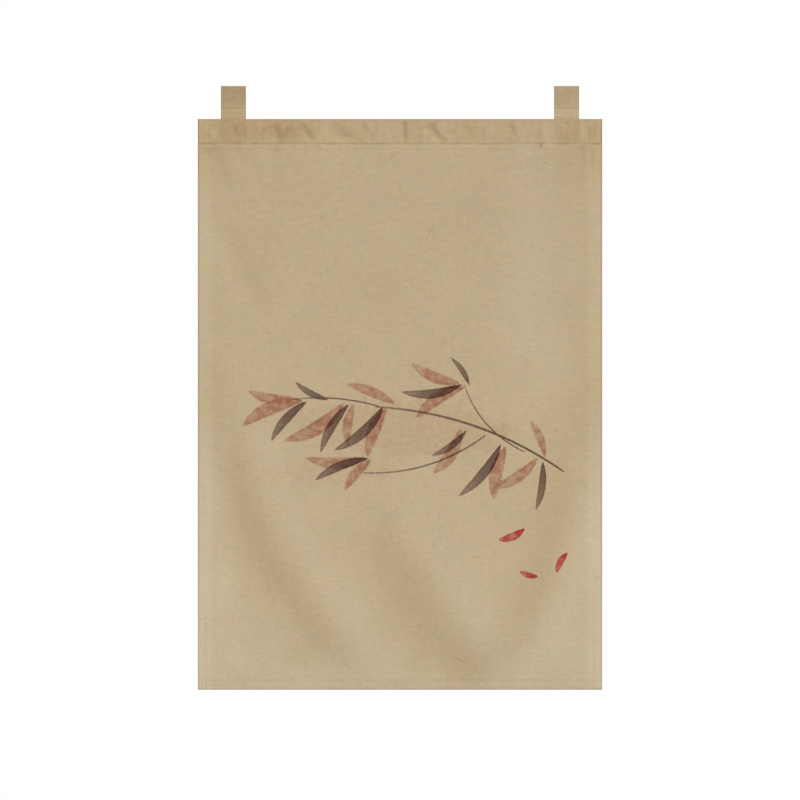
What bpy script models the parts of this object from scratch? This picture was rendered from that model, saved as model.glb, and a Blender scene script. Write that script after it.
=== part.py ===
"""Noren curtain: one hung cloth with a rod pocket along its top, and two sewn tab loops.

Metres, +Z up. The front faces -Y. The origin is at the top of the tab loops, midway between them.
"""

import math
from collections import namedtuple

import bmesh
import bpy

# The panel: one cloth, its top turned over to the back and stitched down as a rod pocket
PANEL_WIDTH = 0.850
PANEL_DROP = 1.200  # top fold to bottom edge
HEADING_DROP = 0.0515  # top fold to the heading's stitch line
TURNED_EDGE = 0.003  # the turned-over cloth's end, past the stitch line
SIDE_HEM = 0.018
BOTTOM_HEM = 0.020
HEM_STEP = 0.002  # width over which a hem's extra layers end

# The cloth, and how far apart its layers lie
CLOTH = 0.0012
HEMMED_CLOTH = 0.0020
LAYER_GAP = 0.0004

# The rod pocket's cross-section. The front layer carries the cloth and hangs nearly flat, and the
# turned-over layer is slack and stands off behind it.
POCKET_FRONT = 0.0034
POCKET_BACK = 0.0092
POCKET_WIDEST = 0.012  # its widest level, below the top fold
SEAM_ROLL = 0.0006  # how far the cloth rounds forward under the stitch line
SEAM_ROLL_DROP = 0.014

# The tabs: a strip folded double, stitched across below its loop, its two ends behind the heading
TAB_WIDTH = 0.0525
TAB_INSET = 0.0485  # from the panel's side edge to the tab
TAB_RISE = 0.0695  # loop top to the panel's top fold
TAB_SEAM = 0.045  # loop top to the stitch line across the tab
TAB_END = 0.0535  # the strip's two ends, below the panel's top fold
LOOP_DEPTH = 0.0164
LOOP_WIDEST = 0.011

TAB_HALF = CLOTH + LAYER_GAP / 2  # half of the doubled strip
PANEL_Y = -(POCKET_BACK + LAYER_GAP + TAB_HALF)  # the pocket's seam, in front of the tabs

# How finely the panel and the pouches are stepped
FIELD_COLUMNS = 36
UPPER_FIELD_ROWS = 7
LOWER_FIELD_ROWS = 22
LOWER_FIELD_DROP = 0.42
TAPER_ROWS = 4
CROWN_ANGLES = (60, 30, 0)
FOLD_STEPS = 24

# Long folds, in x and drop below the top fold. Each runs from start to end, bent towards pull.
# Across it the cloth steps back by depth over band, then comes forward again over reach, on the
# -X side of the fold (side 1) or the +X side (side -1). It grows over rise and dies over fade,
# as shares of its length.
Fold = namedtuple("Fold", "start pull end side depth band reach rise fade")
FOLDS = (
    Fold((-0.404, 0.440), (-0.385, 0.874), (-0.110, 1.140), 1, 0.0100, 0.086, 0.150, 0.40, 0.12),
    Fold((-0.078, 0.715), (-0.010, 1.010), (0.180, 1.180), 1, 0.0105, 0.108, 0.175, 0.60, 0.02),
    Fold((0.378, 0.500), (0.400, 0.880), (0.225, 1.150), -1, 0.0090, 0.080, 0.130, 0.40, 0.10),
    Fold((0.352, 0.070), (0.322, 0.330), (0.385, 0.640), 1, 0.0040, 0.080, 0.120, 0.45, 0.30),
    Fold((-0.366, 0.170), (-0.330, 0.300), (-0.278, 0.390), 1, 0.0018, 0.042, 0.060, 0.40, 0.30),
)

# Broad swells that grow towards the hem: x and drop of the middle, radius, how far forward
Swell = namedtuple("Swell", "x drop radius forward")
SWELLS = (
    Swell(-0.425, 1.200, 0.150, 0.0050),
    Swell(0.425, 1.200, 0.140, 0.0060),
    Swell(-0.020, 1.200, 0.170, 0.0020),
    Swell(0.240, 0.700, 0.180, 0.0022),
    Swell(-0.200, 0.620, 0.190, 0.0018),
)

# Places where the empty pocket has sunk: x, half width, how much of its depth is lost
Sag = namedtuple("Sag", "x half_width loss")
SAGS = (
    Sag(-0.240, 0.060, 0.16),
    Sag(-0.105, 0.050, 0.10),
    Sag(0.030, 0.070, 0.18),
    Sag(0.190, 0.060, 0.12),
)

# Colours, linear
CLOTH_COLOUR = (0.509, 0.397, 0.246, 1.0)
TAB_COLOUR = (0.440, 0.330, 0.190, 1.0)


def smooth(share):
    """0 to 1, with soft ends."""
    share = min(max(share, 0.0), 1.0)
    return share * share * (3 - 2 * share)


def spread(start, end, steps):
    """Evenly spaced values after start, up to end."""
    return [start + (end - start) * step / steps for step in range(1, steps + 1)]


def fold_route(fold):
    """Places along a fold and a little past its ends, as (share of its length, x, drop)."""
    route = []
    for step in range(-FOLD_STEPS // 4, FOLD_STEPS * 5 // 4 + 1):
        t = step / FOLD_STEPS
        weights = ((1 - t) ** 2, 2 * t * (1 - t), t * t)
        points = (fold.start, fold.pull, fold.end)
        x, drop = (sum(w * point[axis] for w, point in zip(weights, points)) for axis in (0, 1))
        route.append((t, x, drop))
    return route


FOLD_ROUTES = {fold: fold_route(fold) for fold in FOLDS}


def near_fold(fold, x, drop):
    """How far along a fold its nearest place is, and the distance from it, positive towards -X."""
    nearest, share, side = math.inf, 0.0, 1.0
    route = FOLD_ROUTES[fold]
    for (t0, x0, d0), (t1, x1, d1) in zip(route, route[1:]):
        run_x, run_d = x1 - x0, d1 - d0
        part = ((x - x0) * run_x + (drop - d0) * run_d) / (run_x**2 + run_d**2)
        part = min(max(part, 0.0), 1.0)
        off_x, off_d = x - x0 - part * run_x, drop - d0 - part * run_d
        distance = math.hypot(off_x, off_d)
        if distance < nearest:
            nearest = distance
            share = t0 + part * (t1 - t0)
            side = math.copysign(1.0, run_x * off_d - run_d * off_x)
    return share, nearest * side


def fold_set_back(fold, x, drop):
    """How far a fold sets the cloth back."""
    share, off = near_fold(fold, x, drop)
    off *= fold.side
    strength = smooth(share / fold.rise) * smooth((1 + fold.fade - share) / (2 * fold.fade))
    width = 0.5 + 0.5 * strength
    step_back = smooth(off / (fold.band * width) + 0.5)
    return_forward = 1 - smooth((off - fold.band * width / 2) / (fold.reach * width))
    return fold.depth * strength * step_back * return_forward


def set_back(x, drop):
    """How far the hung cloth lies behind its flat plane."""
    total = sum(fold_set_back(fold, x, drop) for fold in FOLDS)
    for swell in SWELLS:
        off = math.hypot(x - swell.x, drop - swell.drop) / swell.radius
        total -= swell.forward * (1 - smooth(off))
    return total * smooth((drop - HEADING_DROP) / SEAM_ROLL_DROP)


def cloth_at(x, drop):
    """Thickness of the cloth, more in the hems."""
    side = smooth((abs(x) - (PANEL_WIDTH / 2 - SIDE_HEM - HEM_STEP)) / HEM_STEP)
    bottom = smooth((drop - (PANEL_DROP - BOTTOM_HEM - HEM_STEP)) / HEM_STEP)
    return CLOTH + (HEMMED_CLOTH - CLOTH) * max(side, bottom)


def pouch_half(drop, widest, seam, half, closed_half):
    """Half depth of a pouch that is round over its top fold and closes at its seam."""
    if drop < widest:
        return half * math.sqrt(1 - ((widest - drop) / widest) ** 2)
    return closed_half + (half - closed_half) * (1 - smooth((drop - widest) / (seam - widest)))


def pocket_wall(layer, x, drop):
    """How far the pocket's front (-1) or back (1) layer stands from its seam's plane."""
    lost = sum(sag.loss * (1 - smooth(abs(x - sag.x) / sag.half_width)) for sag in SAGS)
    half = (POCKET_FRONT if layer < 0 else POCKET_BACK) * (1 - lost)
    closed_half = cloth_at(x, drop) + LAYER_GAP / 2
    return layer * pouch_half(drop, POCKET_WIDEST, HEADING_DROP, half, closed_half)


def over_the_fold(front, back):
    """Rows up the front layer, over the top fold and down the back one, as (layer, drop)."""
    return [(-1, drop) for drop in front] + [(1, drop) for drop in reversed(back[:-1])]


def taper_drops(widest, seam):
    """Rows of a pouch from its seam up to its widest level."""
    return [seam] + spread(seam, widest, TAPER_ROWS)


def crown_drops(widest):
    """Rows of a pouch over its top fold, above its widest level."""
    return [widest * (1 - math.cos(math.radians(angle))) for angle in CROWN_ANGLES]


def swept_strip(name, columns, rows, place, thickness, material, thin_share=1.0, weight=None):
    """A sheet that follows rows of a section, at each column across, given its thickness inward."""
    mesh = bpy.data.meshes.new(name)
    work = bmesh.new()
    bmesh.ops.create_grid(work, x_segments=len(columns) - 1, y_segments=len(rows) - 1, size=1.0)
    layer = work.verts.layers.deform.verify()
    for vert in work.verts:
        column = round((vert.co.x + 1) / 2 * (len(columns) - 1))
        row = round((vert.co.y + 1) / 2 * (len(rows) - 1))
        vert.co = place(columns[column], *rows[row])
        if weight is not None:
            vert[layer][0] = weight(columns[column], *rows[row])
    work.to_mesh(mesh)
    work.free()
    mesh.materials.append(material)
    mesh.shade_smooth()
    strip = bpy.data.objects.new(name, mesh)
    shell = strip.modifiers.new("Cloth", "SOLIDIFY")
    shell.thickness = thickness
    shell.offset = -1
    if weight is not None:
        strip.vertex_groups.new(name="Hems")
        shell.vertex_group = "Hems"
        shell.thickness_vertex_group = thin_share
    return strip


def panel(material):
    """The hung cloth, with its rod pocket and hems."""
    half_field = PANEL_WIDTH / 2 - SIDE_HEM - HEM_STEP
    columns = [-PANEL_WIDTH / 2, -PANEL_WIDTH / 2 + SIDE_HEM, -half_field]
    columns += spread(-half_field, half_field, FIELD_COLUMNS)
    columns += [PANEL_WIDTH / 2 - SIDE_HEM, PANEL_WIDTH / 2]

    hem_drop = PANEL_DROP - BOTTOM_HEM
    under_seam = HEADING_DROP + SEAM_ROLL_DROP
    field = [PANEL_DROP, hem_drop, hem_drop - HEM_STEP]
    field += spread(hem_drop - HEM_STEP, LOWER_FIELD_DROP, LOWER_FIELD_ROWS)
    field += spread(LOWER_FIELD_DROP, under_seam, UPPER_FIELD_ROWS)
    field += [(HEADING_DROP + under_seam) / 2]
    pocket = taper_drops(POCKET_WIDEST, HEADING_DROP) + crown_drops(POCKET_WIDEST)
    rows = over_the_fold(field + pocket, [HEADING_DROP + TURNED_EDGE] + pocket)

    def place(x, layer, drop):
        roll = SEAM_ROLL * math.sin(math.pi * smooth((drop - HEADING_DROP) / SEAM_ROLL_DROP))
        away = set_back(x, drop) - roll if layer < 0 else 0.0
        return x, PANEL_Y + pocket_wall(layer, x, drop) + away, -TAB_RISE - drop

    def hem_weight(x, layer, drop):
        return (cloth_at(x, drop) - CLOTH) / (HEMMED_CLOTH - CLOTH)

    return swept_strip(
        "panel", columns, rows, place, HEMMED_CLOTH, material, CLOTH / HEMMED_CLOTH, hem_weight
    )


def tab(name, middle, material):
    """A strip folded double into a loop, its ends lying down the back of the heading."""
    columns = [middle - TAB_WIDTH / 2, middle + TAB_WIDTH / 2]
    behind_pocket = [TAB_END] + taper_drops(POCKET_WIDEST, HEADING_DROP)
    drops = [TAB_RISE + drop for drop in behind_pocket] + [(TAB_RISE + TAB_SEAM) / 2]
    drops += taper_drops(LOOP_WIDEST, TAB_SEAM) + crown_drops(LOOP_WIDEST)
    rows = over_the_fold(drops, drops)

    def middle_line(x, drop):
        """The strip hangs straight down to the pocket's widest level, and lies along it below that."""
        below = max(drop - TAB_RISE, POCKET_WIDEST)
        return PANEL_Y + pocket_wall(1, x, below) + LAYER_GAP + TAB_HALF

    def place(x, layer, drop):
        half = pouch_half(min(drop, TAB_SEAM), LOOP_WIDEST, TAB_SEAM, LOOP_DEPTH / 2, TAB_HALF)
        return x, middle_line(x, drop) + layer * half, -drop

    return swept_strip(name, columns, rows, place, CLOTH, material)


def cloth_material(name, colour):
    material = bpy.data.materials.new(name)
    material.use_nodes = True
    surface = material.node_tree.nodes["Principled BSDF"]
    surface.inputs["Base Color"].default_value = colour
    surface.inputs["Roughness"].default_value = 0.9
    surface.inputs["Metallic"].default_value = 0.0
    return material


for old in list(bpy.data.objects):
    bpy.data.objects.remove(old, do_unlink=True)

curtain = bpy.data.collections.new("Noren curtain")
bpy.context.scene.collection.children.link(curtain)

curtain.objects.link(panel(cloth_material("Panel cloth", CLOTH_COLOUR)))
tab_middle = PANEL_WIDTH / 2 - TAB_INSET - TAB_WIDTH / 2
for tab_name, side in (("tab_left", -1), ("tab_right", 1)):
    tab_cloth = cloth_material(tab_name + " cloth", TAB_COLOUR)
    curtain.objects.link(tab(tab_name, side * tab_middle, tab_cloth))
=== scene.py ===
"""Noren curtain as it hangs: the printed cloth with its rod pocket, two tab loops and the sewing.

Metres, +Z up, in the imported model's frame: the front faces -Y, and the origin is at the top of the
tab loops, midway between them. A place on the cloth is its x and its drop below the top fold.
"""

import math
from collections import namedtuple

import bpy
import numpy as np
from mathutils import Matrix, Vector, noise


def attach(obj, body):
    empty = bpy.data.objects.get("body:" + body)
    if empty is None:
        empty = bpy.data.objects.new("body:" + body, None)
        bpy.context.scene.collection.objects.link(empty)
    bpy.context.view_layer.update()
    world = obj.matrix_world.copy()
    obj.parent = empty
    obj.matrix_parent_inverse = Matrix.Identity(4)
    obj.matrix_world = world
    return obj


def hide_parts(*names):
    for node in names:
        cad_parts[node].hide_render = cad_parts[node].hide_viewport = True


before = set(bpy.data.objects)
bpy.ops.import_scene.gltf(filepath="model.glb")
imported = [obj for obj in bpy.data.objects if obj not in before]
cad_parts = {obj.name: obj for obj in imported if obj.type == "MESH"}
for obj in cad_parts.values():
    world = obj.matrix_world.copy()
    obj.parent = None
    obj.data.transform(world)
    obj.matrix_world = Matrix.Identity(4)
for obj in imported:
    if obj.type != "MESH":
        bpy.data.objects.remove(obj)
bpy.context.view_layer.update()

# Studio. The curtain is seen square on and without perspective, against white. A broad key light
# stands above and in front, a little to the right, in a pale room with a pale floor.
VIEW_WIDTH = 1.6822
VIEW_HEIGHT = -0.6603
FLOOR_DROP = 1.56
FLOOR_SIZE = 14.0
ROOM_WHITE = 1.0
ROOM_LIGHT = 0.23
KEY_FROM = (0.16, -0.69, 0.71)
KEY_STRENGTH = 2.80
BACK_FROM = (-0.35, 0.80, 0.45)
BACK_STRENGTH = 0.9


def add_object(name, data):
    """An object at the origin, linked into the scene."""
    made = bpy.data.objects.new(name, data)
    bpy.context.scene.collection.objects.link(made)
    return made


camera = add_object("Camera", bpy.data.cameras.new("Camera"))
camera.data.type = "ORTHO"
camera.data.ortho_scale = VIEW_WIDTH
camera.location = (0.0, -4.0, VIEW_HEIGHT)
camera.rotation_euler = (math.radians(90), 0.0, 0.0)
bpy.context.scene.camera = camera
bpy.context.scene.view_settings.view_transform = "Standard"

for light_name, light_from, strength, spread_deg in (
    ("Key light", KEY_FROM, KEY_STRENGTH, 24),
    ("Back light", BACK_FROM, BACK_STRENGTH, 40),
):
    light = bpy.data.lights.new(light_name, "SUN")
    light.energy = strength
    light.angle = math.radians(spread_deg)
    lamp = add_object(light_name, light)
    lamp.rotation_euler = Vector(light_from).to_track_quat("Z", "Y").to_euler()

room = bpy.data.worlds.new("Pale room")
room.use_nodes = True
bpy.context.scene.world = room
seen = room.node_tree.nodes.new("ShaderNodeLightPath")
shown = room.node_tree.nodes.new("ShaderNodeMapRange")
shown.inputs["To Min"].default_value = ROOM_LIGHT
shown.inputs["To Max"].default_value = ROOM_WHITE
room.node_tree.links.new(seen.outputs["Is Camera Ray"], shown.inputs["Value"])
room.node_tree.links.new(shown.outputs[0], room.node_tree.nodes["Background"].inputs["Strength"])
room.node_tree.nodes["Background"].inputs["Color"].default_value = (1.0, 1.0, 1.0, 1.0)

floor_mesh = bpy.data.meshes.new("Floor")
half_floor = FLOOR_SIZE / 2
floor_mesh.from_pydata(
    [(x * half_floor, y * half_floor, -FLOOR_DROP) for x, y in ((-1, -1), (1, -1), (1, 1), (-1, 1))],
    [],
    [(0, 1, 2, 3)],
)
floor_paint = bpy.data.materials.new("Pale floor")
floor_paint.use_nodes = True
floor_paint.node_tree.nodes["Principled BSDF"].inputs["Base Color"].default_value = (0.8, 0.8, 0.79, 1)
floor_paint.node_tree.nodes["Principled BSDF"].inputs["Roughness"].default_value = 0.8
floor_mesh.materials.append(floor_paint)
add_object("Floor", floor_mesh)

# Panel. One plain-woven cotton and linen cloth, its sides and foot turned over twice and stitched.
# Its top is turned over to the back and stitched down as a rod pocket, which now hangs empty. It
# was stored folded and hangs by two loops, so long soft folds swing from side to side down it.
HALF_WIDTH = 0.425
PANEL_DROP = 1.200
HEADING_DROP = 0.0515
TURNED_EDGE = 0.003
TUCKED = 0.009  # the raw edge, tucked inside a hem
SIDE_HEM = 0.018
BOTTOM_HEM = 0.020
HEM_EDGE = HALF_WIDTH - SIDE_HEM
FOOT_EDGE = PANEL_DROP - BOTTOM_HEM
CLOTH = 0.0005
LAYER_GAP = 0.00005
PANEL_Y = -0.0110
FACE_OUT = 0.0014  # the front face stands this far in front of the panel's plane
POCKET_FRONT = 0.0034
POCKET_BACK = 0.0092
POCKET_WIDEST = 0.012
SEAM_ROLL = 0.0006
SEAM_ROLL_DROP = 0.014
TAB_RISE = 0.0695  # loop top to the panel's top fold
TAB_MIDDLE = 0.35025

# Each fold runs from start to end, bent towards pull. Across it the cloth steps back by depth over
# band, then comes forward again over reach, on the -X side of the fold (side 1) or the +X side.
Fold = namedtuple("Fold", "start pull end side depth band reach rise fade")
LONG_FOLDS = (
    Fold((-0.404, 0.440), (-0.385, 0.874), (-0.110, 1.140), 1, 0.0100, 0.086, 0.150, 0.40, 0.12),
    Fold((-0.078, 0.715), (-0.010, 1.010), (0.180, 1.180), 1, 0.0105, 0.108, 0.175, 0.60, 0.07),
    Fold((0.378, 0.500), (0.400, 0.880), (0.225, 1.150), -1, 0.0090, 0.080, 0.130, 0.40, 0.10),
    Fold((-0.366, 0.170), (-0.330, 0.300), (-0.278, 0.390), 1, 0.0018, 0.042, 0.060, 0.40, 0.30),
    Fold((0.352, 0.070), (0.322, 0.330), (0.385, 0.640), 1, 0.0040, 0.080, 0.120, 0.45, 0.30),
)
# Creases are short folds with sharper bands, with painted shade darkening along them. These are pressed
# into the empty heading, read from left to right.
Crease = namedtuple("Crease", "start pull end side depth band reach rise fade rubbed")
HEADING_CREASES = (
    Crease((-0.402, 0.004), (-0.402, 0.020), (-0.401, 0.036), 1, 0.0005, 0.004, 0.010, 0.3, 0.3, 0.10),
    Crease((-0.400, 0.012), (-0.391, 0.028), (-0.379, 0.046), -1, 0.0013, 0.008, 0.018, 0.3, 0.2, 0.0),
    Crease((-0.352, 0.008), (-0.345, 0.020), (-0.336, 0.034), 1, 0.0014, 0.009, 0.020, 0.3, 0.3, 0.16),
    Crease((-0.325, 0.008), (-0.325, 0.022), (-0.324, 0.042), 1, 0.0008, 0.005, 0.014, 0.3, 0.3, 0.20),
    Crease((-0.282, 0.012), (-0.285, 0.021), (-0.288, 0.030), 1, -0.0007, 0.004, 0.012, 0.3, 0.3, 0.08),
    Crease((-0.261, 0.006), (-0.256, 0.022), (-0.249, 0.047), 1, 0.0024, 0.012, 0.030, 0.3, 0.15, 0.32),
    Crease((-0.231, 0.008), (-0.239, 0.028), (-0.252, 0.052), 1, -0.0018, 0.005, 0.016, 0.3, 0.1, 0.30),
    Crease((-0.206, 0.006), (-0.196, 0.022), (-0.181, 0.043), 1, 0.0021, 0.010, 0.028, 0.25, 0.15, 0.32),
    Crease((-0.137, 0.003), (-0.127, 0.022), (-0.100, 0.041), 1, 0.0019, 0.015, 0.034, 0.25, 0.2, 0.16),
    Crease((-0.080, 0.004), (-0.078, 0.014), (-0.064, 0.025), 1, 0.0011, 0.008, 0.018, 0.3, 0.3, 0.16),
    Crease((-0.061, 0.026), (-0.059, 0.036), (-0.057, 0.048), 1, 0.0011, 0.006, 0.014, 0.3, 0.2, 0.14),
    Crease((0.011, 0.003), (0.012, 0.022), (0.012, 0.047), 1, 0.0019, 0.008, 0.020, 0.15, 0.3, 0.42),
    Crease((0.063, 0.005), (0.075, 0.026), (0.094, 0.048), 1, 0.0022, 0.010, 0.028, 0.2, 0.1, 0.34),
    Crease((0.111, 0.018), (0.112, 0.026), (0.112, 0.034), 1, 0.0007, 0.005, 0.010, 0.3, 0.3, 0.10),
    Crease((0.137, 0.004), (0.144, 0.018), (0.156, 0.034), 1, 0.0008, 0.012, 0.026, 0.3, 0.3, 0.08),
    Crease((0.176, 0.018), (0.177, 0.026), (0.177, 0.036), 1, 0.0007, 0.004, 0.012, 0.3, 0.3, 0.16),
    Crease((0.231, 0.006), (0.236, 0.018), (0.243, 0.031), 1, 0.0018, 0.008, 0.020, 0.3, 0.3, 0.24),
    Crease((0.258, 0.003), (0.261, 0.010), (0.264, 0.018), 1, 0.0009, 0.007, 0.014, 0.3, 0.3, 0.12),
    Crease((0.293, 0.023), (0.294, 0.032), (0.294, 0.044), 1, 0.0007, 0.004, 0.010, 0.3, 0.2, 0.16),
    Crease((0.344, 0.003), (0.350, 0.009), (0.360, 0.018), 1, 0.0010, 0.005, 0.014, 0.3, 0.3, 0.18),
    Crease((0.400, 0.006), (0.400, 0.024), (0.399, 0.050), 1, 0.0012, 0.005, 0.012, 0.3, 0.1, 0.30),
    Crease((0.411, 0.006), (0.411, 0.020), (0.409, 0.037), 1, 0.0011, 0.005, 0.012, 0.3, 0.2, 0.26),
)
# These are left in the cloth below by the pull of its seam and of the tabs. One is a snagged thread.
SEAM_CREASES = (
    Crease((-0.401, 0.058), (-0.401, 0.068), (-0.400, 0.082), 1, 0.0008, 0.005, 0.016, 0.25, 0.3, 0.16),
    Crease((-0.382, 0.056), (-0.374, 0.090), (-0.352, 0.150), 1, 0.0016, 0.018, 0.040, 0.15, 0.4, 0.06),
    Crease((-0.340, 0.056), (-0.334, 0.074), (-0.322, 0.098), 1, 0.0012, 0.011, 0.028, 0.2, 0.3, 0.06),
    Crease((-0.316, 0.058), (-0.306, 0.096), (-0.282, 0.150), 1, 0.0012, 0.015, 0.034, 0.2, 0.4, 0.04),
    Crease((-0.255, 0.052), (-0.257, 0.060), (-0.259, 0.070), 1, -0.0010, 0.0045, 0.012, 0.1, 0.3, 0.18),
    Crease((-0.223, 0.052), (-0.223, 0.058), (-0.224, 0.066), 1, 0.0008, 0.0045, 0.012, 0.1, 0.3, 0.14),
    Crease((-0.236, 0.070), (-0.235, 0.079), (-0.234, 0.088), 1, 0.0006, 0.004, 0.012, 0.3, 0.3, 0.14),
    Crease((-0.123, 0.090), (-0.122, 0.098), (-0.120, 0.106), 1, 0.0005, 0.006, 0.012, 0.3, 0.3, 0.12),
    Crease((0.002, 0.062), (-0.012, 0.074), (-0.030, 0.092), 1, -0.0011, 0.007, 0.020, 0.25, 0.3, 0.08),
    Crease((0.112, 0.054), (0.113, 0.062), (0.113, 0.074), 1, 0.0005, 0.005, 0.014, 0.2, 0.3, 0.08),
    Crease((0.2955, 0.0510), (0.2956, 0.0545), (0.2960, 0.0590), 1, 0.0006, 0.003, 0.006, 0.1, 0.2, 1.0),
    Crease((0.334, 0.054), (0.332, 0.070), (0.330, 0.092), 1, -0.0008, 0.007, 0.022, 0.2, 0.3, 0.06),
    Crease((0.366, 0.056), (0.356, 0.092), (0.334, 0.150), 1, -0.0014, 0.016, 0.036, 0.2, 0.4, 0.05),
    Crease((0.384, 0.053), (0.387, 0.072), (0.389, 0.096), 1, 0.0010, 0.006, 0.020, 0.2, 0.3, 0.14),
    Crease((0.404, 0.053), (0.405, 0.078), (0.404, 0.108), 1, 0.0011, 0.006, 0.018, 0.2, 0.3, 0.14),
)
# Soft patches painted paler or a little darker: painted light and shade where the hanging cloth is lit
# brighter or lies in shade
Patch = namedtuple("Patch", "x drop half_width half_drop paler")
PATCHES = (
    Patch(0.000, 1.050, 1.600, 0.480, 0.022),
    Patch(-0.425, 0.960, 0.120, 0.440, 0.040),
    Patch(0.425, 0.960, 0.130, 0.420, 0.062),
    Patch(-0.385, 0.740, 0.060, 0.210, 0.085),
    Patch(-0.366, 0.965, 0.035, 0.090, 0.050),
    Patch(-0.345, 1.140, 0.040, 0.050, 0.045),
    Patch(-0.215, 1.130, 0.050, 0.050, -0.055),
    Patch(-0.050, 0.380, 0.060, 0.120, -0.030),
    Patch(-0.030, 1.060, 0.060, 0.070, -0.040),
    Patch(0.040, 1.130, 0.050, 0.080, -0.045),
    Patch(-0.010, 1.190, 0.070, 0.018, -0.060),
    Patch(0.330, 0.480, 0.055, 0.300, 0.025),
    Patch(0.230, 0.420, 0.110, 0.170, 0.020),
    Patch(-0.425, 0.060, 0.140, 0.120, -0.095),
    Patch(0.425, 0.060, 0.120, 0.120, -0.090),
    Patch(0.425, 0.540, 0.070, 0.180, -0.040),
    Patch(-0.250, 0.130, 0.090, 0.120, -0.025),
    Patch(0.280, 0.330, 0.100, 0.330, 0.058),
    Patch(0.362, 0.300, 0.035, 0.090, 0.030),
    Patch(0.268, 0.066, 0.030, 0.024, 0.050),
    Patch(0.320, 1.080, 0.080, 0.140, 0.040),
    Patch(-0.270, 0.022, 0.150, 0.046, -0.095),
    Patch(-0.234, 0.030, 0.028, 0.034, -0.060),
    Patch(-0.391, 0.030, 0.013, 0.032, 0.080),
    Patch(-0.158, 0.026, 0.022, 0.030, 0.035),
    Patch(-0.078, 0.030, 0.018, 0.032, -0.045),
    Patch(-0.024, 0.032, 0.028, 0.034, 0.060),
    Patch(0.036, 0.024, 0.016, 0.030, -0.055),
    Patch(0.092, 0.024, 0.014, 0.028, 0.035),
    Patch(0.148, 0.018, 0.016, 0.022, -0.035),
    Patch(0.258, 0.030, 0.026, 0.034, 0.035),
    Patch(0.313, 0.030, 0.018, 0.034, 0.085),
    Patch(0.388, 0.026, 0.014, 0.032, 0.070),
)
# Painted shade lies along the first four long folds, and painted light on the cloth beside each. Off is
# how far the band lies from its fold, towards the side that is set back.
FoldShade = namedtuple("FoldShade", "darker dark_off paler pale_off")
FOLD_SHADES = (
    FoldShade(0.075, 0.000, 0.045, -0.075),
    FoldShade(0.092, 0.014, 0.045, -0.078),
    FoldShade(0.080, -0.021, 0.045, 0.036),
    FoldShade(0.030, 0.000, 0.028, 0.042),
)
# Round places where the cloth swells forward, and places where the empty heading has sunk flatter
Swell = namedtuple("Swell", "x drop radius forward")
SWELLS = (
    Swell(-0.425, 1.200, 0.150, 0.0050),
    Swell(0.425, 1.200, 0.140, 0.0060),
    Swell(-0.020, 1.200, 0.170, 0.0020),
    Swell(0.240, 0.700, 0.180, 0.0022),
    Swell(-0.200, 0.620, 0.190, 0.0018),
)
Sag = namedtuple("Sag", "x half_width loss")
SAGS = (
    Sag(-0.240, 0.060, 0.16),
    Sag(-0.105, 0.050, 0.10),
    Sag(0.030, 0.070, 0.18),
    Sag(0.190, 0.060, 0.12),
)
# Small unevenness of the cloth: how deep, its wavelengths across and down, and its seed
Ripple = namedtuple("Ripple", "deep wave_x wave_drop seed")
HEADING_RIPPLE = Ripple(0.00040, 0.022, 0.040, 1.5)
TURNING_RIPPLE = Ripple(0.00060, 0.055, 0.030, 4.0)
SEAM_RIPPLE = Ripple(0.00045, 0.013, 0.050, 7.5)
FOOT_RIPPLE = Ripple(0.00055, 0.018, 0.060, 2.5)
SIDE_RIPPLE = Ripple(0.00040, 0.050, 0.022, 3.5)
BROAD_RIPPLE = Ripple(0.00060, 0.120, 0.180, 5.5)
FINE_RIPPLE = Ripple(0.00025, 0.045, 0.070, 6.5)


def smooth(share):
    """0 to 1, with soft ends."""
    share = np.clip(share, 0.0, 1.0)
    return share * share * (3 - 2 * share)


def along_fold(fold, x, drop):
    """The places within a fold's reach, and for each its strength there and how far off it lies,
    towards the side that is set back."""
    t = np.linspace(-0.25, 1.25, 37)
    weights = np.stack(((1 - t) ** 2, 2 * t * (1 - t), t * t), axis=1)
    route = weights @ np.array((fold.start, fold.pull, fold.end))
    (left, top), (right, foot) = route.min(axis=0), route.max(axis=0)
    margin = fold.band + fold.reach
    near = (x > left - margin) & (x < right + margin) & (drop > top - margin) & (drop < foot + margin)
    x, drop = x[near], drop[near]
    nearest = np.full(x.shape, np.inf)
    share = np.zeros(x.shape)
    off = np.zeros(x.shape)
    for step in range(len(t) - 1):
        (x0, d0), (run_x, run_d) = route[step], route[step + 1] - route[step]
        part = ((x - x0) * run_x + (drop - d0) * run_d) / (run_x**2 + run_d**2)
        part = np.clip(part, 0.0, 1.0)
        off_x, off_d = x - x0 - part * run_x, drop - d0 - part * run_d
        distance = np.hypot(off_x, off_d)
        closer = distance < nearest
        side = np.where(run_x * off_d - run_d * off_x < 0, -1.0, 1.0) * fold.side
        nearest = np.where(closer, distance, nearest)
        share = np.where(closer, t[step] + part * (t[1] - t[0]), share)
        off = np.where(closer, distance * side, off)
    strength = smooth(share / fold.rise) * smooth((1 + fold.fade - share) / (2 * fold.fade))
    return near, strength, off


def fold_set_back(fold, x, drop):
    """How far one fold sets the cloth back, at every place given."""
    set_back = np.zeros(x.shape)
    near, strength, off = along_fold(fold, x, drop)
    width = 0.5 + 0.5 * strength
    step_back = smooth(off / (fold.band * width) + 0.5)
    return_forward = 1 - smooth((off - fold.band * width / 2) / (fold.reach * width))
    set_back[near] = fold.depth * strength * step_back * return_forward
    return set_back


def painted_crease_shade(x, drop):
    """How much painted shade lies along the creases, from 0 to 1."""
    rubbed = np.zeros(x.shape)
    for crease in HEADING_CREASES + SEAM_CREASES:
        near, strength, off = along_fold(crease, x, drop)
        line = crease.rubbed * strength * np.exp(-((off / (0.75 * crease.band)) ** 2))
        rubbed[near] = np.maximum(rubbed[near], line)
    return rubbed


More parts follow.
